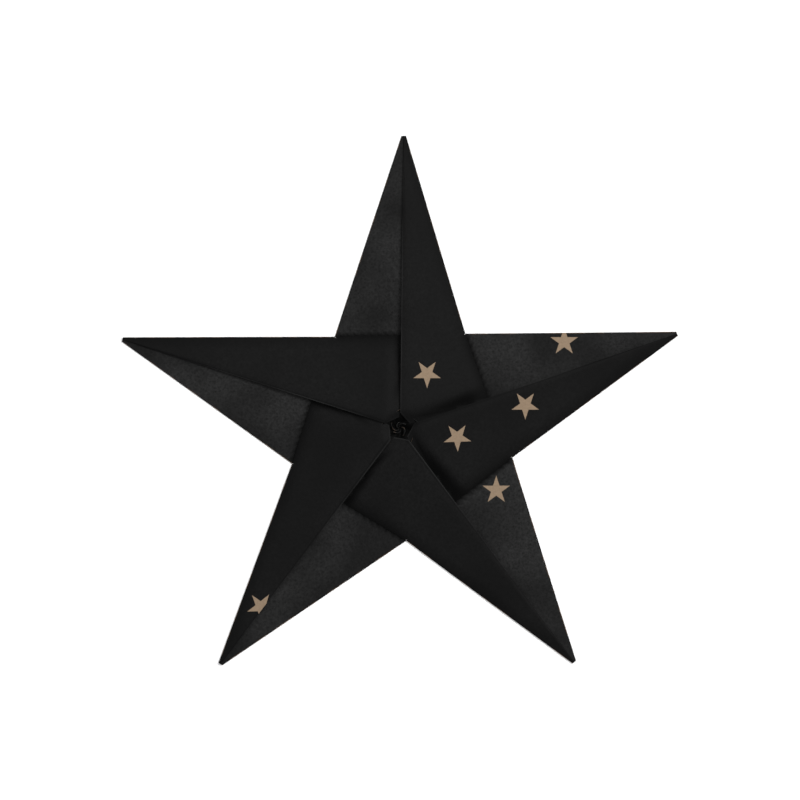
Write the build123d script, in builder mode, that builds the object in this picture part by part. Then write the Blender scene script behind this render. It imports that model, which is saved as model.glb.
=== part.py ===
from build123d import *
from math import atan2, cos, degrees, radians, sin, sqrt, tan
import os

# Folded five-point paper star, millimetres.
# The back lies on Z = 0, the printed front faces +Z and one arm points along +Y.
# The origin is the star's centre on its back.
# Every arm has two folded-over layers: a facet panel turned over its left edge, lying flat,
# and a long flap turned over its right edge, whose free edge is the arm's ridge.
# Each flap crosses the next arm clockwise and tucks under that arm's own flap.

# Driving dimensions
tip_radius = 46.4        # centre to the blunt end of an arm
paper = 0.12             # thickness of the sheet
layer_gap = 0.10         # air between two layers lying on each other
centre_rise = 1.75       # how much higher a flap is at the centre than at its outer fold
tip_land = 0.14          # flat width left between the two folds at an arm's tip
tuck_angle = 4.0         # how far a flap runs on under the next one, seen from the centre
opening_radius = 1.9     # opening of the twist where the five flaps meet
facet_overlap = 1.4      # how far a facet panel runs on past the ridge that hides it
facet_root = 0.62        # inner end of a facet panel, as a share of the chord distance
lap = 1.2                # width of back panel that each fold strip carries

# A five-point star: neighbouring arms are 72 degrees apart, each arm's half angle is 18
ARMS = 5
first_arm = 90
turn = 360 / ARMS
half_angle = turn / 4
corner_angle = turn / 2

# Fold radii that let each layer lie clear over the ones below it
facet_inner = layer_gap / 2
facet_outer = facet_inner + paper
flap_inner = (paper + 2 * layer_gap) / 2
flap_outer = flap_inner + paper

# Outline
tip_half_width = flap_outer / cos(radians(half_angle)) + tip_land / 2
apex_radius = tip_radius + tip_half_width / tan(radians(half_angle))
chord = apex_radius * cos(radians(turn))          # centre to the line of an arm's edge
corner_radius = chord / cos(radians(corner_angle))
slope = centre_rise / chord
slant = sqrt(1 + slope ** 2)
total_height = 2 * (flap_outer + centre_rise)       # well above everything
margin = 1.0             # how far a trimming outline stands clear of what it leaves whole


def polar(radius, angle):
    """Point in plan at a radius and an angle in degrees."""
    return (radius * cos(radians(angle)), radius * sin(radians(angle)))


def edge_point(across, along, side):
    """Point in plan, measured across and along the edge line on one side of the arm along +X.

    side is -1 for the flap's edge and +1 for the facet's edge, and along runs towards the tip."""
    normal = radians(side * turn)
    return (across * cos(normal) + along * sin(side * normal),
            across * sin(normal) - side * along * cos(normal))


def section_plane(along, side):
    """Plane across the edge line, with local x pointing outwards and local y up."""
    x, y = edge_point(0, along, side)
    outward = edge_point(1, 0, side)
    return Plane(origin=(x, y, 0), x_dir=(*outward, 0), z_dir=(outward[1], -outward[0], 0))


# Where the arm's edge runs, measured along it from the foot of the centre's perpendicular
tip_along = apex_radius * sin(radians(turn))
corner_along = chord * tan(radians(corner_angle))
flap_axis = chord - flap_outer
facet_axis = chord - facet_outer


def fold_section(axis, inner, outer, rise):
    """Half turn of paper with a strip of back panel below and a strip of the upper layer."""
    normal = (rise / sqrt(1 + rise ** 2), 1 / sqrt(1 + rise ** 2))
    run = (-normal[1] * lap, normal[0] * lap)
    outer_end = (axis + outer * normal[0], outer + outer * normal[1])
    inner_end = (axis + inner * normal[0], outer + inner * normal[1])
    Polyline((axis - lap, paper), (axis - lap, 0), (axis, 0))
    ThreePointArc((axis, 0), (axis + outer, outer), outer_end)
    Polyline(outer_end, (outer_end[0] + run[0], outer_end[1] + run[1]),
             (inner_end[0] + run[0], inner_end[1] + run[1]), inner_end)
    ThreePointArc(inner_end, (axis + inner, outer), (axis, paper))
    Line((axis, paper), (axis - lap, paper))


def flap_height(across):
    """Underside of a flap at a distance from the centre towards its outer fold."""
    return flap_outer + flap_inner * slant - slope * (across - flap_axis)


def plan_strip(side):
    """Half of the arm's plan on one side of the ridge, open past its own edge line."""
    return [(0, 0), (tip_radius, 0), (tip_radius, side * (tip_half_width + margin)),
            polar(corner_radius + 2 * margin, side * corner_angle)]


# Fold along an arm's right edge, from the tip to the inner corner
with BuildPart() as flap_fold:
    with BuildSketch(section_plane(tip_along, -1)):
        with BuildLine():
            fold_section(flap_axis, flap_inner, flap_outer, slope)
        make_face()
    extrude(amount=tip_along - corner_along)
    with BuildSketch(Plane.XY):
        with BuildLine():
            Polyline(*plan_strip(-1), close=True)
        make_face()
    extrude(amount=total_height, mode=Mode.INTERSECT)

# Flap: a flat slanting layer that rises from the outer fold to the centre
with BuildPart() as flap:
    with BuildSketch(section_plane(tip_along, -1)):
        with BuildLine():
            Polyline((-margin, flap_height(-margin)), (chord, flap_height(chord)),
                     (chord, flap_height(chord) + paper * slant),
                     (-margin, flap_height(-margin) + paper * slant), close=True)
        make_face()
    extrude(amount=tip_along + chord)
    fold_top = flap_axis + flap_outer * slope / slant
    with BuildSketch(Plane.XY):
        with BuildLine():
            Polyline((0, 0), (tip_radius, 0),
                     (tip_radius, -tip_land / 2),
                     edge_point(fold_top, corner_along, -1),
                     edge_point(chord, corner_along, -1),
                     edge_point(chord, -chord * tan(radians(tuck_angle)), -1), close=True)
        make_face()
        Circle(opening_radius, mode=Mode.SUBTRACT)
    extrude(amount=total_height, mode=Mode.INTERSECT)

# Fold along an arm's left edge
with BuildPart() as facet_fold:
    with BuildSketch(section_plane(corner_along, 1)):
        with BuildLine():
            fold_section(facet_axis, facet_inner, facet_outer, 0)
        make_face()
    extrude(amount=tip_along - corner_along)
    with BuildSketch(Plane.XY):
        with BuildLine():
            Polyline(*plan_strip(1), close=True)
        make_face()
    extrude(amount=total_height, mode=Mode.INTERSECT)

# Facet panel: the flat layer that shows on the left half of each arm
with BuildPart() as facet:
    with BuildSketch(Plane.XY.offset(paper + layer_gap)):
        with BuildLine():
            Polyline((tip_radius, 0),
                     (tip_radius, tip_half_width - facet_outer / cos(radians(half_angle))),
                     edge_point(facet_axis, corner_along, 1),
                     polar(facet_root * corner_radius, corner_angle),
                     (facet_root * chord, -facet_overlap), close=True)
        make_face()
    extrude(amount=paper)

# Whole sheet: the star-shaped back with the folded layers of all five arms
with BuildPart() as folded_sheet:
    with BuildSketch(Plane.XY):
        with BuildLine():
            inset_corner = flap_axis / cos(radians(corner_angle))
            reach = sqrt(tip_radius ** 2 + (tip_land / 2) ** 2)
            tilt = degrees(atan2(tip_land / 2, tip_radius))
            outline = []
            for arm in range(ARMS):
                heading = first_arm + arm * turn
                outline.append(polar(reach, heading - tilt))
                outline.append(polar(reach, heading + tilt))
                outline.append(polar(inset_corner, heading + corner_angle))
            Polyline(*outline, close=True)
        make_face()
    extrude(amount=paper)
    with PolarLocations(0, ARMS, start_angle=first_arm):
        add(flap_fold.part)
        add(flap.part)
        add(facet_fold.part)
        add(facet.part)

folded_sheet.part.label = "folded_sheet"
solids = folded_sheet.part.solids()
size = folded_sheet.part.bounding_box().size
print("solids", len(solids), "valid", folded_sheet.part.is_valid, "volume", folded_sheet.part.volume)
print("size", size.X, size.Y, size.Z)

os.makedirs("parts", exist_ok=True)
export_step(folded_sheet.part, "parts/folded_sheet.step")
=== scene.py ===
import math

import bmesh
import bpy
from bpy.props import FloatProperty, FloatVectorProperty, IntProperty, PointerProperty
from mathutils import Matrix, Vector, noise


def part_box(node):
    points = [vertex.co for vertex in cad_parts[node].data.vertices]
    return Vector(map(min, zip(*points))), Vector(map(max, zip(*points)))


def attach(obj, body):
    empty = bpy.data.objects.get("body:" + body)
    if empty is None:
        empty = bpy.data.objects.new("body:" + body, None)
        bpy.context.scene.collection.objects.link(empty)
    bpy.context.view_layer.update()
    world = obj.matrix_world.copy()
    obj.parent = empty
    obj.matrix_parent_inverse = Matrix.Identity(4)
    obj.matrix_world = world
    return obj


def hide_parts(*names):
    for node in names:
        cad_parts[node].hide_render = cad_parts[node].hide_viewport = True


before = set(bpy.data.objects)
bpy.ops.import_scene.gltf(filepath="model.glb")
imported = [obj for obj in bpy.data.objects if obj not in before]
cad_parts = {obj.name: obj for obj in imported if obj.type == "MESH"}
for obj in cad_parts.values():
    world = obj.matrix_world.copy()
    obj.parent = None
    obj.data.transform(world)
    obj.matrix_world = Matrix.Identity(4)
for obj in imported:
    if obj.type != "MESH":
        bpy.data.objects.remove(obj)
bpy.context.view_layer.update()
SHEET_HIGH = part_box("folded_sheet")[1]

bl_info = {
    "name": "Folded Paper Star",
    "version": (1, 0, 0),
    "blender": (4, 5, 0),
    "location": "3D View > Sidebar > Paper Star",
    "description": "Folds a five-point star from one printed sheet and sets it on a studio floor",
    "category": "Add Mesh",
}

MM = 0.001
ARMS = 5
TURN = 2 * math.pi / ARMS
FIRST_ARM = math.pi / 2
# Layers of the sheet, as stored in the "layer" attribute
BACK, FACET, FLAP = 0.0, 1.0, 2.0
SAME_POINT = 1e-7      # corners of a face closer than this are one
WELD = 0.002 * MM      # edges of neighbouring panels closer than this are joined


class SheetSizes(bpy.types.PropertyGroup):
    """Sizes of the folded sheet."""

    tip_radius: FloatProperty(name="Tip radius", description="Centre to the blunt end of an arm",
                              default=SHEET_HIGH.y, unit="LENGTH", precision=5)
    paper: FloatProperty(name="Paper", description="Thickness of the sheet",
                         default=0.12 * MM, unit="LENGTH", precision=6)
    layer_gap: FloatProperty(name="Layer gap", description="Air between two layers lying on each other",
                             default=0.10 * MM, unit="LENGTH", precision=6)
    centre_rise: FloatProperty(name="Centre rise", description="Rise of a flap from its fold to the centre",
                               default=1.75 * MM, unit="LENGTH", precision=5)
    tip_land: FloatProperty(name="Tip land", description="Flat width between the two folds at a tip",
                            default=0.14 * MM, unit="LENGTH", precision=6)
    tuck: FloatProperty(name="Tuck", description="How far a flap runs on under the next, from the centre",
                        default=math.radians(4), subtype="ANGLE")
    opening: FloatProperty(name="Opening", description="Radius of the twist where the flaps meet",
                           default=1.9 * MM, unit="LENGTH", precision=5)
    facet_overlap: FloatProperty(name="Facet overlap", description="Width of facet hidden past the ridge",
                                 default=1.4 * MM, unit="LENGTH", precision=5)
    facet_root: FloatProperty(name="Facet root", description="Inner end of a facet, share of the chord",
                              default=0.62, min=0.1, max=0.9)
    edge_roll: FloatProperty(name="Edge roll", description="Drop of a flap's free edge where it is creased",
                             default=0.16 * MM, unit="LENGTH", precision=6)
    crown: FloatProperty(name="Crown", description="Fullness of a flap inside its outer edge",
                         default=0.22 * MM, unit="LENGTH", precision=6)
    dip: FloatProperty(name="Dip", description="Drop of a flap where the next one presses on it",
                       default=0.40 * MM, unit="LENGTH", precision=6)
    dip_width: FloatProperty(name="Dip width", description="How far that drop reaches into the open flap",
                             default=2.4 * MM, unit="LENGTH", precision=5)
    buckle: FloatProperty(name="Buckle", description="Height of the slow waves that handling leaves",
                          default=0.12 * MM, unit="LENGTH", precision=6)


class PrintColours(bpy.types.PropertyGroup):
    """Colours and finish of the printed paper."""

    # painted shade: the darkest ink stands in for the shade beside covering flaps, along outer folds and in
    # the twist
    ink_painted_shade: FloatVectorProperty(name="Deep ink", description="Ink kept fresh beside a covering flap",
                                  subtype="COLOR", size=3, default=(0.0008, 0.0008, 0.0008), min=0, max=1)
    ink: FloatVectorProperty(name="Ink", description="Black printed face", subtype="COLOR", size=3,
                             default=(0.0034, 0.0034, 0.0034), min=0, max=1)
    # this light ink is also the painted highlight along the ridges and, on the facets, a painted sheen
    ink_light: FloatVectorProperty(name="Light ink", description="Ink where its grain is rubbed",
                                   subtype="COLOR", size=3, default=(0.024, 0.024, 0.024), min=0, max=1)
    kraft: FloatVectorProperty(name="Kraft", description="Bare brown paper", subtype="COLOR", size=3,
                               default=(0.222, 0.162, 0.110), min=0, max=1)
    kraft_dark: FloatVectorProperty(name="Dark kraft", description="Cut edge of the sheet",
                                    subtype="COLOR", size=3, default=(0.16, 0.105, 0.07), min=0, max=1)
    star_radius: FloatProperty(name="Printed star", description="Centre to point of a printed star",
                               default=2.3 * MM, unit="LENGTH", precision=5)


class StageSettings(bpy.types.PropertyGroup):
    """Floor, camera and lights."""

    view_width: FloatProperty(name="View width", description="Width of floor that the camera takes in",
                              default=0.1272, unit="LENGTH", precision=4)
    camera_height: FloatProperty(name="Camera height", description="Height above the floor",
                                 default=0.9, unit="LENGTH")
    grain_detail: IntProperty(name="Grain detail", description="Octaves of the paper's grain",
                                  default=4, min=1, max=8)


def sheet():
    """The sizes of the sheet in this scene."""
    return bpy.context.scene.paper_star_sheet


def colours():
    """The colours of the print in this scene."""
    return bpy.context.scene.paper_star_colours


def stage_settings():
    """The settings of the stage in this scene."""
    return bpy.context.scene.paper_star_stage


# ---------------------------------------------------------------- the fold's geometry

class Fold:
    """Lines and heights of one arm lying along +X, worked out from the sheet's sizes."""

    def __init__(self, sizes):
        self.paper = sizes.paper
        self.flap_inner = (sizes.paper + 2 * sizes.layer_gap) / 2
        self.flap_outer = self.flap_inner + sizes.paper
        self.facet_inner = sizes.layer_gap / 2
        self.facet_outer = self.facet_inner + sizes.paper
        self.tip = sizes.tip_radius
        self.tip_half = self.flap_outer / math.cos(TURN / 4) + sizes.tip_land / 2
        self.apex = self.tip + self.tip_half / math.tan(TURN / 4)
        self.chord = self.apex * math.cos(TURN)
        self.slope = sizes.centre_rise / self.chord
        self.slant = math.sqrt(1 + self.slope ** 2)
        self.flap_axis = self.chord - self.flap_outer
        self.flap_top = self.flap_axis + (self.flap_inner + self.flap_outer) / 2 * self.slope / self.slant
        self.facet_axis = self.chord - self.facet_outer
        self.corner_along = self.chord * math.tan(TURN / 2)
        self.tuck_along = -self.chord * math.tan(sizes.tuck)
        self.opening = sizes.opening

    def edge(self, across, along, side):
        """Plan point measured across and along the edge line; side is -1 flap, +1 facet."""
        normal = side * TURN
        return Vector((across * math.cos(normal) + along * math.sin(side * normal),
                       across * math.sin(normal) - side * along * math.cos(normal)))

    def tip_at(self, across, side):
        """Where a line parallel to the edge meets the blunt end."""
        y = (across - self.tip * math.cos(TURN)) / math.sin(TURN)
        return Vector((self.tip, side * max(y, 0.0)))

    def flap_height(self, point):
        """Middle of the flap's thickness above a plan point."""
        across = point.dot(self.edge(1, 0, -1))
        middle = (self.flap_inner + self.flap_outer) / 2
        return self.flap_outer + middle * self.slant - self.slope * (across - self.flap_axis)


def steps(count):
    """Even steps from 0 to 1, both ends included."""
    return [i / count for i in range(count + 1)]


def lay_grid(mesh, layer, rows, kind, ridge=None):
    """Adds a grid of quads to the mesh from rows of points, and tags its corners with their layer."""
    corners = [[mesh.verts.new(point) for point in row] for row in rows]
    for row in corners:
        for vert in row:
            vert[layer] = kind
        if ridge:
            row[-1][ridge] = 1.0
    for near, far in zip(corners, corners[1:]):
        for a, b, c, d in zip(near, near[1:], far[1:], far):
            distinct = []
            for vert in (a, b, c, d):
                if all((vert.co - other.co).length > SAME_POINT for other in distinct):
                    distinct.append(vert)
            if len(distinct) > 2:
                mesh.faces.new(distinct)


ALONG = 64       # divisions of an arm from tip to inner corner
FREE = 20        # divisions of a flap from the inner corner to its hidden end
ACROSS = 22      # divisions from the edge to the ridge
BEND = 8         # divisions round a fold


def fold_strip(fold, axis, inner, outer, side, slope):
    """Rows of points round one folded edge, from the back panel up to the layer above."""
    radius = (inner + outer) / 2
    sweep = math.pi - math.atan(slope)
    rows = []
    for i in steps(ALONG):
        row = []
        for j in steps(BEND):
            angle = -math.pi / 2 + j * sweep
            across = axis + radius * math.cos(angle)
            start = fold.tip_at(across, side)
            end = fold.edge(across, fold.corner_along, side)
            point = start.lerp(end, i)
            row.append((point.x, point.y, outer + radius * math.sin(angle)))
        rows.append(row)
    return rows


def back_panel(fold, axis, side):
    """Rows of points over half an arm of the back, from its edge to the ridge line and the centre."""
    start = fold.tip_at(axis, side)
    end = fold.edge(axis, fold.corner_along, side)
    inner = Vector((fold.tip, 0))
    rows = []
    for i in steps(ALONG):
        edge = start.lerp(end, i)
        ridge = inner.lerp(Vector((0, 0)), i)
        rows.append([(*edge.lerp(ridge, j), fold.paper / 2) for j in steps(ACROSS)])
    # the seam with the next arm runs from the inner corner to the centre
    corner = Vector((math.cos(TURN / 2), side * math.sin(TURN / 2))) * fold.flap_axis / math.cos(TURN / 2)
    rows.append([(*corner.lerp(Vector((0, 0)), j), fold.paper / 2) for j in steps(ACROSS)])
    return rows


def smooth(value):
    """Ease from 0 to 1, flat outside."""
    value = min(1.0, max(0.0, value))
    return value * value * (3 - 2 * value)


CROWN_RUN = 1.8 * MM       # a flap has its full crown this far inside its outer fold
CROWN_ON_ARM = 0.35        # share of the crown along the arm, rising to all of it past the inner corner
PRESS_RUN = 3.5 * MM       # a flap gives way fully this far inside its outer fold


def flap_fullness(fold, sizes, plan):
    """Height that a flap gains inside its outer edge, less what it loses beside the next flap."""
    inwards = max(0.0, fold.flap_top - plan.dot(fold.edge(1, 0, -1)))
    along = plan.dot(fold.edge(0, 1, -1))
    wide = smooth(along / fold.corner_along)
    share = CROWN_ON_ARM + (1 - CROWN_ON_ARM) * (1 - wide)
    crown = sizes.crown * smooth(inwards / CROWN_RUN) * share
    press = smooth(1 - along / sizes.dip_width) * min(1.0, inwards / PRESS_RUN)
    return crown - sizes.dip * press


ROLL_START = 0.86          # share of the way across a flap where its free edge starts to turn down
ROLL_AT_TIP = 0.25         # share of that turn left at the tip
ROLL_FADE = 0.35           # share of the arm's length over which it grows by one whole turn


def flap_rows(fold, sizes):
    """Rows of points over the long flap, from its outer fold to its free edge, the ridge."""
    start = fold.tip_at(fold.flap_top, -1)
    corner = fold.edge(fold.flap_top, fold.corner_along, -1)
    free = fold.edge(fold.chord, fold.corner_along * (1 - 1 / FREE), -1)
    end = fold.edge(fold.chord, fold.tuck_along, -1)
    outer = [start.lerp(corner, i) for i in steps(ALONG)]
    outer += [free.lerp(end, i) for i in steps(FREE)]
    centre_side = Vector((math.cos(sizes.tuck + TURN), -math.sin(sizes.tuck + TURN)))
    count = len(outer) - 1
    rows = []
    for i, edge in enumerate(outer):
        ridge = Vector((fold.tip, 0)).lerp(Vector((fold.opening, 0)), i / count)
        if i == count:
            ridge = centre_side * fold.opening
        rows.append([(*edge.lerp(ridge, j), 0) for j in steps(ACROSS)])
    # the round mouth of the twist closes the flap between its ridge and its hidden edge
    last = [Vector(point[:2]) for point in rows[-2]]
    mouth = []
    for j, point in zip(steps(ACROSS), last):
        mouth.append((*point.lerp(Vector(rows[-1][round(j * ACROSS)][:2]), 0.5), 0))
    rows.insert(-1, mouth)
    lifted = []
    for row in rows:
        new = []
        for j, point in zip(steps(ACROSS), row):
            plan = Vector(point[:2])
            height = fold.flap_height(plan) + flap_fullness(fold, sizes, plan)
            roll = max(0.0, (j - ROLL_START) / (1 - ROLL_START)) ** 2
            reach = min(1.0, (fold.tip - plan.length) / (ROLL_FADE * fold.tip) + ROLL_AT_TIP)
            new.append((plan.x, plan.y, height - sizes.edge_roll * roll * reach))
        lifted.append(new)
    return lifted


def facet_rows(fold, sizes):
    """Rows of points over the facet panel, from its outer fold to its hidden edge."""
    start = fold.tip_at(fold.facet_axis, 1)
    corner = fold.edge(fold.facet_axis, fold.corner_along, 1)
    root = Vector((sizes.facet_root * fold.chord, -sizes.facet_overlap))
    # the back, one gap, and half of the facet's own thickness
    height = fold.paper + sizes.layer_gap + fold.paper / 2
    rows = []
    for i in steps(ALONG):
        edge = start.lerp(corner, i)
        hidden = Vector((fold.tip, 0)).lerp(root, i)
        rows.append([(*edge.lerp(hidden, j), height) for j in steps(ACROSS)])
    inner_corner = Vector((math.cos(TURN / 2), math.sin(TURN / 2)))
    inner_corner *= sizes.facet_root * fold.chord / math.cos(TURN / 2)
    rows.append([(*inner_corner.lerp(root, j), height) for j in steps(ACROSS)])
    return rows


def arm_mesh(sizes):
    """One arm of the sheet along +X, as a surface in the middle of the paper."""
    fold = Fold(sizes)
    mesh = bmesh.new()
    layer = mesh.verts.layers.float.new("layer")
    lay_grid(mesh, layer, back_panel(fold, fold.flap_axis, -1), BACK)
    lay_grid(mesh, layer, back_panel(fold, fold.facet_axis, 1), BACK)
    lay_grid(mesh, layer, fold_strip(fold, fold.flap_axis, fold.flap_inner, fold.flap_outer, -1,
                                     fold.slope), FLAP)
    lay_grid(mesh, layer, fold_strip(fold, fold.facet_axis, fold.facet_inner, fold.facet_outer, 1, 0),
             FACET)
    lay_grid(mesh, layer, flap_rows(fold, sizes), FLAP, mesh.verts.layers.float.new("ridge"))
    lay_grid(mesh, layer, facet_rows(fold, sizes), FACET)
    data = bpy.data.meshes.new("arm")
    mesh.to_mesh(data)
    mesh.free()
    return data


# ---------------------------------------------------------------- node helpers

def add_node(tree, kind, values=(), **settings):
    """Adds a node, sets its properties, and fills its inputs from a name or index to value map."""
    node = tree.nodes.new(kind)
    for name, value in settings.items():
        setattr(node, name, value)
    for socket, value in dict(values).items():
        target = node.inputs[socket]
        if isinstance(value, bpy.types.NodeSocket):
            tree.links.new(value, target)
        else:
            target.default_value = value
    return node


def math_node(tree, operation, first, second=0.0):
    """Result of one arithmetic step on two sockets or numbers."""
    node = add_node(tree, "ShaderNodeMath", {0: first, 1: second}, operation=operation)
    return node.outputs[0]


def map_range(tree, value, low, high, to_low=0.0, to_high=1.0):
    """The value stretched from one range to another, and held at its ends."""
    node = add_node(tree, "ShaderNodeMapRange",
                    {"Value": value, "From Min": low, "From Max": high, "To Min": to_low, "To Max": to_high})
    return node.outputs["Result"]


def mix_colour(tree, factor, first, second):
    """The first colour at factor 0, the second at 1; each is a socket or a plain colour."""
    node = add_node(tree, "ShaderNodeMix", {"Factor": factor}, data_type="RGBA")
    for name, value in (("A", first), ("B", second)):
        socket = next(s for s in node.inputs if s.name == name and s.type == "RGBA")
        if isinstance(value, bpy.types.NodeSocket):
            tree.links.new(value, socket)
        else:
            socket.default_value = value
    return next(s for s in node.outputs if s.type == "RGBA")


def arm_repeat_tree(material):
    """Geometry nodes that turn one arm into a whole star and weld the arms at their seams."""
    tree = bpy.data.node_groups.new("repeat_arms", "GeometryNodeTree")
    tree.interface.new_socket("Arm", in_out="INPUT", socket_type="NodeSocketGeometry")
    count = tree.interface.new_socket("Arms", in_out="INPUT", socket_type="NodeSocketInt")
    count.default_value = ARMS
    weld = tree.interface.new_socket("Weld", in_out="INPUT", socket_type="NodeSocketFloat")
    weld.default_value = WELD
    tree.interface.new_socket("Star", in_out="OUTPUT", socket_type="NodeSocketGeometry")
    source = tree.nodes.new("NodeGroupInput")
    points = add_node(tree, "GeometryNodeMeshLine", {"Count": source.outputs["Arms"], "Offset": (0, 0, 0)})
    index = tree.nodes.new("GeometryNodeInputIndex")
    angle = math_node(tree, "MULTIPLY", math_node(tree, "DIVIDE", index.outputs[0], source.outputs["Arms"]),
                      2 * math.pi)
    heading = math_node(tree, "ADD", angle, FIRST_ARM)
    turn = add_node(tree, "ShaderNodeCombineXYZ", {"Z": heading})
    copies = add_node(tree, "GeometryNodeInstanceOnPoints",
                      {"Points": points.outputs["Mesh"], "Instance": source.outputs["Arm"],
                       "Rotation": turn.outputs[0]})
    real = add_node(tree, "GeometryNodeRealizeInstances", {"Geometry": copies.outputs[0]})
    welded = add_node(tree, "GeometryNodeMergeByDistance",
                      {"Geometry": real.outputs[0], "Distance": source.outputs["Weld"]})
    painted = add_node(tree, "GeometryNodeSetMaterial", {"Geometry": welded.outputs[0], "Material": material})
    target = tree.nodes.new("NodeGroupOutput")
    tree.links.new(painted.outputs[0], target.inputs[0])
    return tree


def run_tree(piece, tree, values):
    """Runs a geometry node tree on a piece, keeps its result as the piece's mesh and drops the modifier."""
    modifier = piece.modifiers.new(tree.name, "NODES")
    modifier.node_group = tree
    sockets = {item.name: item.identifier for item in tree.interface.items_tree if item.in_out == "INPUT"}
    for name, value in values.items():
        modifier[sockets[name]] = value
    result = piece.evaluated_get(bpy.context.evaluated_depsgraph_get())
    mesh = bpy.data.meshes.new_from_object(result)
    piece.modifiers.clear()
    piece.data = mesh


# ---------------------------------------------------------------- materials

STAR_BLUR = 0.02 * MM      # half the width over which a printed star's outline fades
LAYER_MATCH = 0.4          # two layer values closer than this are the same layer


def printed_star_group():
    """Node group: 1 inside a five-point star of a given centre, turn and radius, 0 outside."""
    tree = bpy.data.node_groups.new("printed_star", "ShaderNodeTree")
    for name, kind in (("Coordinate", "NodeSocketVector"), ("Centre", "NodeSocketVector"),
                       ("Turn", "NodeSocketFloat"), ("Radius", "NodeSocketFloat"),
                       ("Layer", "NodeSocketFloat"), ("Own Layer", "NodeSocketFloat")):
        tree.interface.new_socket(name, in_out="INPUT", socket_type=kind)
    tree.interface.new_socket("Mask", in_out="OUTPUT", socket_type="NodeSocketFloat")
    source = tree.nodes.new("NodeGroupInput")
    offset = add_node(tree, "ShaderNodeVectorMath", {0: source.outputs["Coordinate"],
                                                     1: source.outputs["Centre"]}, operation="SUBTRACT")
    plan = add_node(tree, "ShaderNodeVectorMath", {0: offset.outputs[0], 1: (1, 1, 0)}, operation="MULTIPLY")
    split = add_node(tree, "ShaderNodeSeparateXYZ", {0: plan.outputs[0]})
    reach = add_node(tree, "ShaderNodeVectorMath", {0: plan.outputs[0]}, operation="LENGTH")
    bearing = math_node(tree, "ARCTAN2", split.outputs["Y"], split.outputs["X"])
    turned = math_node(tree, "SUBTRACT", bearing, source.outputs["Turn"])
    folded = math_node(tree, "PINGPONG", turned, TURN / 2)
    across = math_node(tree, "MULTIPLY", reach.outputs["Value"],
                       math_node(tree, "COSINE", math_node(tree, "SUBTRACT", TURN, folded)))
    limit = math_node(tree, "MULTIPLY", source.outputs["Radius"], math.cos(TURN))
    inside = map_range(tree, math_node(tree, "SUBTRACT", across, limit), -STAR_BLUR, STAR_BLUR, 1, 0)
    far = math_node(tree, "ABSOLUTE", math_node(tree, "SUBTRACT", source.outputs["Layer"],
                                                source.outputs["Own Layer"]))
    own = math_node(tree, "LESS_THAN", far, LAYER_MATCH)
    target = tree.nodes.new("NodeGroupOutput")
    tree.links.new(math_node(tree, "MULTIPLY", inside, own), target.inputs[0])
    return tree


# Printed stars: plan place of the centre in mm, direction of one point in degrees, and layer.
# Those on the back are strewn at listed places.
PRINTED_STARS = [
    (4.3, 8.6, -90, FLAP), (9.1, -1.5, -88, FLAP), (19.9, 3.6, -90, FLAP), (26.1, 13.7, 90, FACET),
    (15.3, -9.9, 90, FACET), (-22.1, -28.4, -88, FLAP),
    (-3.0, 24.0, 54, BACK), (-17.0, 7.5, 18, BACK), (12.0, 6.0, -18, BACK), (27.5, 9.2, 36, BACK),
    (4.0, -12.5, 0, BACK), (-14.5, -17.0, 72, BACK), (19.5, -26.0, 20, BACK), (-31.0, 11.5, 50, BACK),
]


# Scales of the paper's patterns, in features a metre
FIBRE_SCALE = 3200
CREASE_SCALE = 2100
SCUFF_SCALE = 420
CLOUD_SCALE = 62
CUT_FIBRE_SCALE = 900
FIBRE_SHARE = 0.7          # part of the grain that comes from fibres, the rest is fine creases
FAINT_GRAIN_AND_SHEEN = 0.22         # how much of the grain, and of the painted sheen that lightens the facets, shows on the flaps and the back
GRAIN_BUMP = 0.06 * MM     # height of the grain
CUT_BUMP = 0.02 * MM       # height of the fibres at a cut edge
DULL_KRAFT = 0.86          # brightness of the darker kraft fibres


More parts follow.
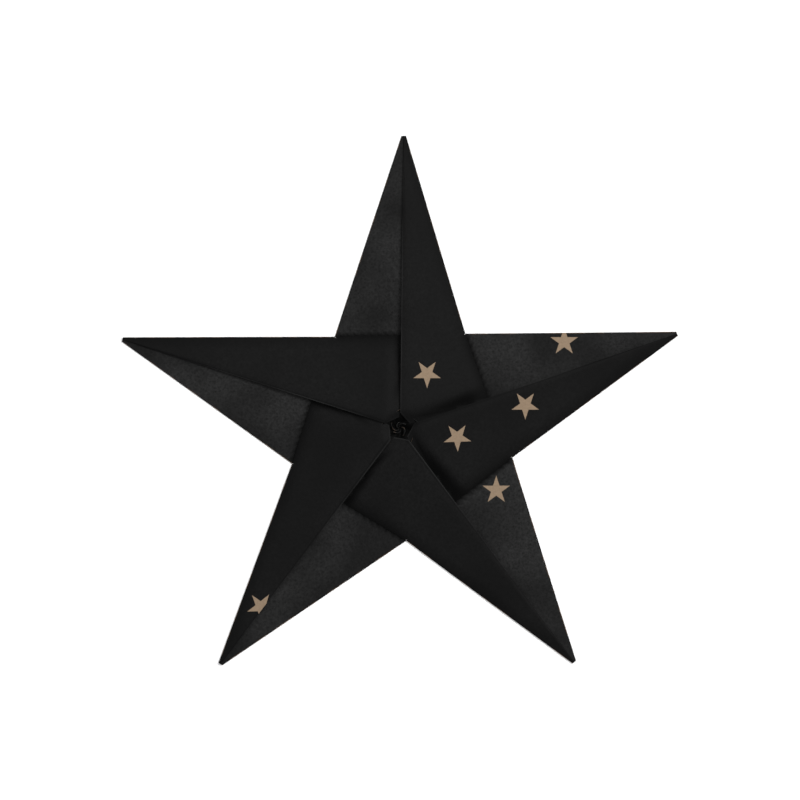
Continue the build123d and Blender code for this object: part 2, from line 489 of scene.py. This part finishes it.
def paper_material():
    """Black satin ink on brown kraft paper: fine pressed grain, rubbed patches, worn folds, stars, with
    painted shade beside the flaps, a painted highlight on the ridges and a painted sheen on the facets.
    """
    look = colours()
    material = bpy.data.materials.new("printed_paper")
    material.use_nodes = True
    tree = material.node_tree
    tree.nodes.clear()
    place = tree.nodes.new("ShaderNodeTexCoord").outputs["Object"]
    layer = add_node(tree, "ShaderNodeAttribute", attribute_name="layer").outputs["Fac"]
    wear = add_node(tree, "ShaderNodeAttribute", attribute_name="wear").outputs["Fac"]
    painted_lit = add_node(tree, "ShaderNodeAttribute", attribute_name="lit_after_painted_shade").outputs["Fac"]
    ridge = add_node(tree, "ShaderNodeAttribute", attribute_name="ridge").outputs["Fac"]
    detail = stage_settings().grain_detail
    fibres = add_node(tree, "ShaderNodeTexNoise", {"Vector": place, "Scale": FIBRE_SCALE, "Detail": detail,
                                                   "Roughness": 0.65}).outputs["Fac"]
    creases = add_node(tree, "ShaderNodeTexVoronoi", {"Vector": place, "Scale": CREASE_SCALE},
                       feature="SMOOTH_F1").outputs["Distance"]
    cloud = add_node(tree, "ShaderNodeTexNoise",
                     {"Vector": place, "Scale": CLOUD_SCALE, "Detail": 2}).outputs["Fac"]
    grain = math_node(tree, "ADD", math_node(tree, "MULTIPLY", fibres, FIBRE_SHARE),
                      math_node(tree, "MULTIPLY", creases, 1 - FIBRE_SHARE))
    # the grain and a painted sheen show fully on the facets and faintly on the flaps and the back, so the
    # facets are painted lighter
    grain_and_sheen_share = map_range(tree, math_node(tree, "ABSOLUTE", math_node(tree, "SUBTRACT", layer, FACET)),
                           0.2, 0.8, 1.0, FAINT_GRAIN_AND_SHEEN)
    # rubbed patches take their strength from the cloud, and so does the painted highlight along a ridge
    patches = map_range(tree, cloud, 0.4, 0.6, 0.45, 1.25)
    rubbed = math_node(tree, "MULTIPLY", map_range(tree, grain, 0.2, 0.86),
                       math_node(tree, "MULTIPLY", patches, grain_and_sheen_share))
    # partly rubbed grain, partly painted sheen that lightens the facets
    colour = mix_colour(tree, rubbed, (*look.ink, 1), (*look.ink_light, 1))
    # painted shade: the ink turns to its darkest where the lit share falls towards 0
    colour = mix_colour(tree, painted_lit, (*look.ink_painted_shade, 1), colour)
    # painted highlight: light ink along the flaps' ridge folds, where the rounded fold would catch light
    ridge_highlight = math_node(tree, "MULTIPLY", map_range(tree, ridge, 0.55, 1.0),
                      map_range(tree, cloud, 0.4, 0.6, 0.1, 0.7))
    colour = mix_colour(tree, ridge_highlight, colour, (*look.ink_light, 1))
    group = printed_star_group()
    mask = None
    for x, y, turn, own in PRINTED_STARS:
        star = add_node(tree, "ShaderNodeGroup", node_tree=group)
        for name, value in (("Centre", (x * MM, y * MM, 0)), ("Turn", math.radians(turn)),
                            ("Radius", look.star_radius), ("Own Layer", own)):
            star.inputs[name].default_value = value
        tree.links.new(place, star.inputs["Coordinate"])
        tree.links.new(layer, star.inputs["Layer"])
        mask = star.outputs[0] if mask is None else math_node(tree, "MAXIMUM", mask, star.outputs[0])
    dull = [DULL_KRAFT * channel for channel in look.kraft]
    kraft = mix_colour(tree, map_range(tree, fibres, 0.35, 0.65), (*dull, 1), (*look.kraft, 1))
    colour = mix_colour(tree, mask, colour, kraft)
    scuff = add_node(tree, "ShaderNodeTexNoise",
                     {"Vector": place, "Scale": SCUFF_SCALE, "Detail": 3}).outputs["Fac"]
    worn = math_node(tree, "MULTIPLY", wear, map_range(tree, scuff, 0.45, 0.56))
    colour = mix_colour(tree, worn, colour, (*look.kraft_dark, 1))
    gloss = map_range(tree, cloud, 0.3, 0.7, 0.5, 0.6)
    bump = add_node(tree, "ShaderNodeBump", {"Strength": 0.35, "Distance": GRAIN_BUMP,
                                             "Height": math_node(tree, "MULTIPLY", grain, grain_and_sheen_share)})
    shader = add_node(tree, "ShaderNodeBsdfPrincipled",
                      {"Base Color": colour, "Roughness": gloss, "Normal": bump.outputs[0],
                       "Specular IOR Level": 0.03})
    output = tree.nodes.new("ShaderNodeOutputMaterial")
    tree.links.new(shader.outputs[0], output.inputs["Surface"])
    return material


def cut_edge_material():
    """The cut edge of the sheet: dark brown fibres with ink pressed over them."""
    look = colours()
    material = bpy.data.materials.new("cut_edge")
    material.use_nodes = True
    tree = material.node_tree
    shader = tree.nodes["Principled BSDF"]
    place = tree.nodes.new("ShaderNodeTexCoord").outputs["Object"]
    fibres = add_node(tree, "ShaderNodeTexNoise",
                      {"Vector": place, "Scale": CUT_FIBRE_SCALE, "Detail": 4}).outputs["Fac"]
    colour = mix_colour(tree, map_range(tree, fibres, 0.45, 0.8), (*look.ink, 1), (*look.kraft_dark, 1))
    tree.links.new(colour, shader.inputs["Base Color"])
    shader.inputs["Roughness"].default_value = 0.85
    bump = add_node(tree, "ShaderNodeBump", {"Strength": 0.5, "Distance": CUT_BUMP, "Height": fibres})
    tree.links.new(bump.outputs[0], shader.inputs["Normal"])
    return material


def floor_material():
    """Plain pale matt floor."""
    material = bpy.data.materials.new("pale_floor")
    material.use_nodes = True
    shader = material.node_tree.nodes["Principled BSDF"]
    shader.inputs["Base Color"].default_value = (0.9, 0.9, 0.9, 1)
    shader.inputs["Roughness"].default_value = 0.9
    return material


# ---------------------------------------------------------------- finishing the sheet

WORN_WIDTH = 0.17 * MM     # how far wear reaches in from an outer fold
CALM_WIDTH = 0.6 * MM      # flaps stay straight this far in from an outer fold
CALM_FADE = 4 * MM         # and buckle fully this much further in
SLOW_WAVE = 95             # buckles, in waves a metre
QUICK_WAVE = 240
CURL_RADIUS = 3.0 * MM     # inner ends of the flaps turn down inside this radius
CURL_DROP = 1.1 * MM


def settle_paper(mesh, sizes):
    """Stores wear and the painted shade, buckles the flaps, turns their inner ends down and adds hand drift.
    """
    fold = Fold(sizes)
    layers = mesh.attributes["layer"].data
    wear = mesh.attributes.new("wear", "FLOAT", "POINT").data
    painted_lit = mesh.attributes.new("lit_after_painted_shade", "FLOAT", "POINT").data
    for vert in mesh.vertices:
        plan = Vector(vert.co[:2])
        reach = plan.length
        edge = min(fold.chord - out for out in edge_distances(plan))
        wear[vert.index].value = max(0.0, 1 - max(edge, 0.0) / WORN_WIDTH)
        # painted shade, stored as the share of light left at this place
        painted_lit[vert.index].value = lit_share_from_painted_shade(plan, fold, layers[vert.index].value)
        if layers[vert.index].value == FLAP:
            calm = min(1.0, max(0.0, edge - CALM_WIDTH) / CALM_FADE)
            slow = noise.noise(Vector((plan.x, plan.y, 0)) * SLOW_WAVE)
            wave = slow + 0.4 * noise.noise(vert.co * QUICK_WAVE)
            vert.co.z -= sizes.buckle * calm * (0.5 + 0.5 * wave)
            curl = max(0.0, 1 - reach / CURL_RADIUS)
            vert.co.z -= CURL_DROP * curl ** 1.5
        drift = hand_drift(plan)
        vert.co.x += drift.x
        vert.co.y += drift.y


# Width in mm of the painted shadow beside each ridge, on the flap that goes under it, counter-clockwise
# from the top
PAINTED_SHADOW_WIDTH = [1.3, 1.2, 1.7, 3.2, 2.8]
FOLD_SHADE = 0.66          # painted shade at a flap's outer fold, as the share of light left
FOLD_FADE = 2.2 * MM       # it rises to 1 over this width
CROSSING_SHADE = 0.25      # further painted shade at the edge that crosses the next arm, as the share of light left
CROSSING_FADE = 0.9 * MM


def lit_share_from_painted_shade(plan, fold, layer):
    """Share of light left by painted shade: 0 where the layer above touches this place, rising to 1 away from
    it.
    """
    heading = math.atan2(plan.y, plan.x) - FIRST_ARM
    if layer == FACET:
        # a facet is covered by the flap that comes round from the arm on its left, and gets a painted shadow
        # beside that flap's outer edge
        found = fold.chord
        for arm in range(ARMS):
            normal = FIRST_ARM + arm * TURN
            out = plan.x * math.cos(normal) + plan.y * math.sin(normal)
            if abs(math.remainder(heading - arm * TURN, 2 * math.pi)) < TURN / 2:
                found = out - fold.chord
        return smooth((found - 0.1 * MM) / (0.6 * MM))
    if layer == FLAP:
        # a flap is covered from the next ridge clockwise, up to its own corner; it gets a painted shadow
        # beside that ridge and painted shade along its outer fold
        arm = math.floor(heading / TURN)
        ridge = arm * TURN + FIRST_ARM
        width = PAINTED_SHADOW_WIDTH[arm % ARMS] * MM
        aside = plan.y * math.cos(ridge) - plan.x * math.sin(ridge)
        ahead = plan.x * math.cos(ridge) + plan.y * math.sin(ridge)
        inwards = fold.chord - ahead
        past_corner = heading / TURN - arm < 0.5
        shade = FOLD_SHADE + (1 - FOLD_SHADE) * smooth(inwards / FOLD_FADE)
        if past_corner:
            shade *= CROSSING_SHADE + (1 - CROSSING_SHADE) * smooth(inwards / CROSSING_FADE)
        # painted shadow beside the next ridge, wider further out along the arm
        if ahead < fold.chord * 1.02:
            reach = width * (0.3 + 0.7 * max(0.0, ahead) / fold.chord)
            shade *= smooth((aside - 0.35 * reach) / (0.75 * reach))
        return shade
    return 1.0


# How far hand folding left each tip and inner corner from a true star, in mm, counter-clockwise
# from the top tip
HAND_DRIFT = [(0.6, 0.0), (0.3, -0.2), (0.0, -0.3), (0.1, -0.1), (-1.3, 0.0), (1.0, 0.2), (0.4, 0.3),
              (0.6, 0.9), (-0.1, 0.6), (-0.3, 0.3)]


CORNER_REACH = 0.39        # inner corners lie at this share of the tips' distance


def hand_drift(plan):
    """Sideways shift of a plan point, blended between the nearest tip and inner corner."""
    tip = SHEET_HIGH.y
    reaches = (tip, tip * CORNER_REACH)
    step = (math.atan2(plan.y, plan.x) - FIRST_ARM) % (2 * math.pi) / (TURN / 2)
    low = int(step) % len(HAND_DRIFT)
    high = (low + 1) % len(HAND_DRIFT)
    first = Vector(HAND_DRIFT[low]) / reaches[low % 2]
    second = Vector(HAND_DRIFT[high]) / reaches[high % 2]
    return first.lerp(second, step - int(step)) * plan.length * MM


def edge_distances(plan):
    """How far out a plan point lies towards the two edge lines of its own arm."""
    heading = math.atan2(plan.y, plan.x) - FIRST_ARM
    arm = round(heading / TURN) * TURN + FIRST_ARM
    found = []
    for side in (-1, 1):
        normal = arm + side * TURN
        found.append(plan.x * math.cos(normal) + plan.y * math.sin(normal))
    return found


# Curled slivers where the sheet is gathered: bearing in degrees, size in mm and lean
TWIST_CURLS = [(150, 1.5, 0.5), (215, 1.2, -0.4), (290, 1.3, 0.3), (35, 1.1, -0.5), (95, 0.9, 0.6)]


CURL_TURN = 1.5            # how far a curl turns on its way to the middle, in radians
CURL_WIDTH = 0.16 * MM     # half its width at the widest
CURL_ARCH = 0.25 * MM
CURL_FALL = 0.35 * MM
CURL_LEAN = 0.12 * MM


def curl_rows(bearing, size, lean, top):
    """Rows of points over one narrow strip that curls from the edge of the twist to its middle."""
    rows = []
    for i in steps(12):
        reach = size * (1 - 0.8 * i)
        angle = bearing + CURL_TURN * i
        middle = Vector((reach * math.cos(angle), reach * math.sin(angle)))
        half_width = CURL_WIDTH * math.sin(math.pi * (0.15 + 0.8 * i))
        aside = Vector((-math.sin(angle), math.cos(angle))) * half_width
        height = top - CURL_ARCH + CURL_ARCH * math.sin(math.pi * i) - CURL_FALL * i
        rows.append([(middle.x + aside.x * j, middle.y + aside.y * j, height + lean * CURL_LEAN * j)
                     for j in (-1, 0, 1)])
    return rows


FUNNEL_SINK = 0.5 * MM     # rim of the funnel below the flaps' height at the centre
FUNNEL_DEPTH = 1.1 * MM
FUNNEL_TWIST = 1.9         # turn from rim to bottom, in radians
FUNNEL_RIM = 1.55          # radius at the rim, in openings
FUNNEL_TAPER = 1.45        # openings of radius lost from rim to bottom
PLEAT_DEPTH = 0.24 * MM
PLEAT_SPREAD = 0.10
PLEAT_LEAN = 3.0
FUNNEL_SHADE_PATCHES = 900         # lighter patches in the funnel's painted shade, in features a metre
# share of light left by the painted shade on the curls
CURL_PAINTED_LIT = 0.9


def twist_mesh(sizes):
    """The gathered inner end of the sheet: a small pleated funnel and the curls that lie in it."""
    fold = Fold(sizes)
    mesh = bmesh.new()
    layer = mesh.verts.layers.float.new("layer")
    top = fold.flap_height(Vector((0, 0))) - FUNNEL_SINK
    rings = 12
    spokes = 60
    rows = []
    for i in steps(rings):
        row = []
        radius = fold.opening * (FUNNEL_RIM - FUNNEL_TAPER * i)
        for j in range(spokes + 1):
            angle = 2 * math.pi * (j % spokes) / spokes + FUNNEL_TWIST * i
            pleat = math.cos(ARMS * angle - PLEAT_LEAN * i)
            wide = radius * (1 + PLEAT_SPREAD * pleat)
            height = top - FUNNEL_DEPTH * i + PLEAT_DEPTH * pleat * math.sin(math.pi * i)
            row.append((wide * math.cos(angle), wide * math.sin(angle), height))
        rows.append(row)
    lay_grid(mesh, layer, rows, FLAP)
    bmesh.ops.remove_doubles(mesh, verts=mesh.verts, dist=SAME_POINT)
    # painted shade: the funnel takes the darkest ink, broken by lighter noise patches, and the curls a little
    # of it
    painted_lit = mesh.verts.layers.float.new("lit_after_painted_shade")
    for vert in mesh.verts:
        vert[painted_lit] = 0.5 * max(0.0, noise.noise(vert.co * FUNNEL_SHADE_PATCHES))
    for bearing, size, lean in TWIST_CURLS:
        before = len(mesh.verts)
        lay_grid(mesh, layer, curl_rows(math.radians(bearing), size * MM, lean, top), FLAP)
        mesh.verts.ensure_lookup_table()
        for vert in mesh.verts[before:]:
            vert[painted_lit] = CURL_PAINTED_LIT
    data = bpy.data.meshes.new("twist")
    mesh.to_mesh(data)
    mesh.free()
    return data


CUT_SLOT = 1               # place of the cut edge's material on a piece
SHARP_FOLD = math.radians(40)


def thicken(piece, sizes):
    """Gives the surface the paper's thickness, with the cut edge in its own material."""
    solid = piece.modifiers.new("thickness", "SOLIDIFY")
    solid.thickness = sizes.paper
    solid.offset = 0
    solid.material_offset_rim = CUT_SLOT
    result = piece.evaluated_get(bpy.context.evaluated_depsgraph_get())
    mesh = bpy.data.meshes.new_from_object(result)
    piece.modifiers.clear()
    piece.data = mesh
    mesh.shade_smooth()
    mesh.set_sharp_from_angle(angle=SHARP_FOLD)


def face_outwards(mesh):
    """Turns all the faces of a surface the same way round."""
    work = bmesh.new()
    work.from_mesh(mesh)
    bmesh.ops.recalc_face_normals(work, faces=work.faces)
    work.to_mesh(mesh)
    work.free()


class PAPERSTAR_OT_fold_sheet(bpy.types.Operator):
    """Fold the sheet into a star of five arms"""

    bl_idname = "paper_star.fold_sheet"
    bl_label = "Fold the Sheet"

    def execute(self, context):
        sizes = sheet()
        paper = paper_material()
        edge = cut_edge_material()
        piece = bpy.data.objects.new("star_sheet", arm_mesh(sizes))
        context.collection.objects.link(piece)
        work = bmesh.new()
        work.from_mesh(piece.data)
        bmesh.ops.remove_doubles(work, verts=work.verts, dist=WELD)
        bmesh.ops.recalc_face_normals(work, faces=work.faces)
        work.to_mesh(piece.data)
        work.free()
        run_tree(piece, arm_repeat_tree(paper), {"Arms": ARMS, "Weld": WELD})
        face_outwards(piece.data)
        settle_paper(piece.data, sizes)
        piece.data.materials.clear()
        piece.data.materials.append(paper)
        piece.data.materials.append(edge)
        thicken(piece, sizes)
        if len(piece.data.polygons) == 0:
            raise RuntimeError("the sheet came out empty")
        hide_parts("folded_sheet")
        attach(piece, "root")
        return {"FINISHED"}


class PAPERSTAR_OT_gather_twist(bpy.types.Operator):
    """Gather the inner end of the sheet into the twist at the centre"""

    bl_idname = "paper_star.gather_twist"
    bl_label = "Gather the Twist"

    def execute(self, context):
        folded = bpy.data.objects.get("star_sheet")
        if folded is None:
            raise RuntimeError("fold the sheet before gathering its twist")
        sizes = sheet()
        twist = bpy.data.objects.new("centre_twist", twist_mesh(sizes))
        context.collection.objects.link(twist)
        for material in folded.data.materials:
            twist.data.materials.append(material)
        twist.data.attributes.new("wear", "FLOAT", "POINT")
        face_outwards(twist.data)
        thicken(twist, sizes)
        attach(twist, "root")
        return {"FINISHED"}


# Soft lights, all aimed at the origin: name, place and size in metres, and power in watts
LIGHTS = [
    ("key", (0.35, 0.45, 1.1), (0.5, 0.4), 3.0),
    ("near", (0.17, 0.10, 0.32), (0.12, 0.12), 0.85),
    ("fill", (-0.6, 0.25, 0.9), (0.6, 0.6), 3.0),
    ("overhead", (0.05, 0.12, 1.3), (0.25, 0.25), 2.5),
]
SKY_STRENGTH = 0.45
FLOOR_HALF = 3.0
CAMERA_OFFSET = 0.0953     # camera beyond the centre, as a share of the tip's distance
CAMERA_REACH = 10


def add_light(name, place, size, power):
    """Adds a rectangular light aimed at the origin."""
    data = bpy.data.lights.new(name, "AREA")
    data.shape = "RECTANGLE"
    data.size, data.size_y = size
    data.energy = power
    light = bpy.data.objects.new(name, data)
    light.location = place
    light.rotation_euler = (-Vector(place)).to_track_quat("-Z", "Y").to_euler()
    bpy.context.collection.objects.link(light)


class PAPERSTAR_OT_build_stage(bpy.types.Operator):
    """Lay the floor and set the camera and the studio lights"""

    bl_idname = "paper_star.build_stage"
    bl_label = "Build the Stage"

    def execute(self, context):
        settings = stage_settings()
        half = FLOOR_HALF
        mesh = bpy.data.meshes.new("floor")
        corners = [(-half, -half, 0), (half, -half, 0), (half, half, 0), (-half, half, 0)]
        mesh.from_pydata(corners, [], [(0, 1, 2, 3)])
        mesh.materials.append(floor_material())
        floor = bpy.data.objects.new("floor", mesh)
        context.collection.objects.link(floor)
        world = bpy.data.worlds.new("studio")
        world.use_nodes = True
        sky = world.node_tree.nodes["Background"]
        sky.inputs["Color"].default_value = (1, 1, 1, 1)
        sky.inputs["Strength"].default_value = SKY_STRENGTH
        context.scene.world = world
        for name, place, size, power in LIGHTS:
            add_light(name, place, size, power)
        camera = bpy.data.cameras.new("camera")
        camera.lens = camera.sensor_width * settings.camera_height / settings.view_width
        camera.clip_end = CAMERA_REACH
        eye = bpy.data.objects.new("camera", camera)
        eye.location = (0, CAMERA_OFFSET * SHEET_HIGH.y, settings.camera_height)
        context.collection.objects.link(eye)
        context.scene.camera = eye
        context.scene.view_settings.view_transform = "Standard"
        return {"FINISHED"}


class PAPERSTAR_PT_panel(bpy.types.Panel):
    """Sizes, colours and steps of the paper star"""

    bl_label = "Paper Star"
    bl_idname = "PAPERSTAR_PT_panel"
    bl_space_type = "VIEW_3D"
    bl_region_type = "UI"
    bl_category = "Paper Star"

    def draw(self, context):
        for group in (sheet(), colours(), stage_settings()):
            box = self.layout.box()
            for name in group.bl_rna.properties.keys():
                if name not in ("rna_type", "name"):
                    box.prop(group, name)
        self.layout.operator(PAPERSTAR_OT_build_stage.bl_idname)
        self.layout.operator(PAPERSTAR_OT_fold_sheet.bl_idname)
        self.layout.operator(PAPERSTAR_OT_gather_twist.bl_idname)


CLASSES = (SheetSizes, PrintColours, StageSettings, PAPERSTAR_OT_build_stage, PAPERSTAR_OT_fold_sheet,
           PAPERSTAR_OT_gather_twist, PAPERSTAR_PT_panel)


def register():
    """Adds the classes and puts the settings on the scene."""
    for item in CLASSES:
        bpy.utils.register_class(item)
    bpy.types.Scene.paper_star_sheet = PointerProperty(type=SheetSizes)
    bpy.types.Scene.paper_star_colours = PointerProperty(type=PrintColours)
    bpy.types.Scene.paper_star_stage = PointerProperty(type=StageSettings)


def unregister():
    """Takes the settings and the classes away again."""
    del bpy.types.Scene.paper_star_stage
    del bpy.types.Scene.paper_star_colours
    del bpy.types.Scene.paper_star_sheet
    for item in reversed(CLASSES):
        bpy.utils.unregister_class(item)


def main():
    """Builds the stage and the star."""
    register()
    bpy.ops.paper_star.build_stage()
    bpy.ops.paper_star.fold_sheet()
    bpy.ops.paper_star.gather_twist()


if __name__ == "__main__":
    main()
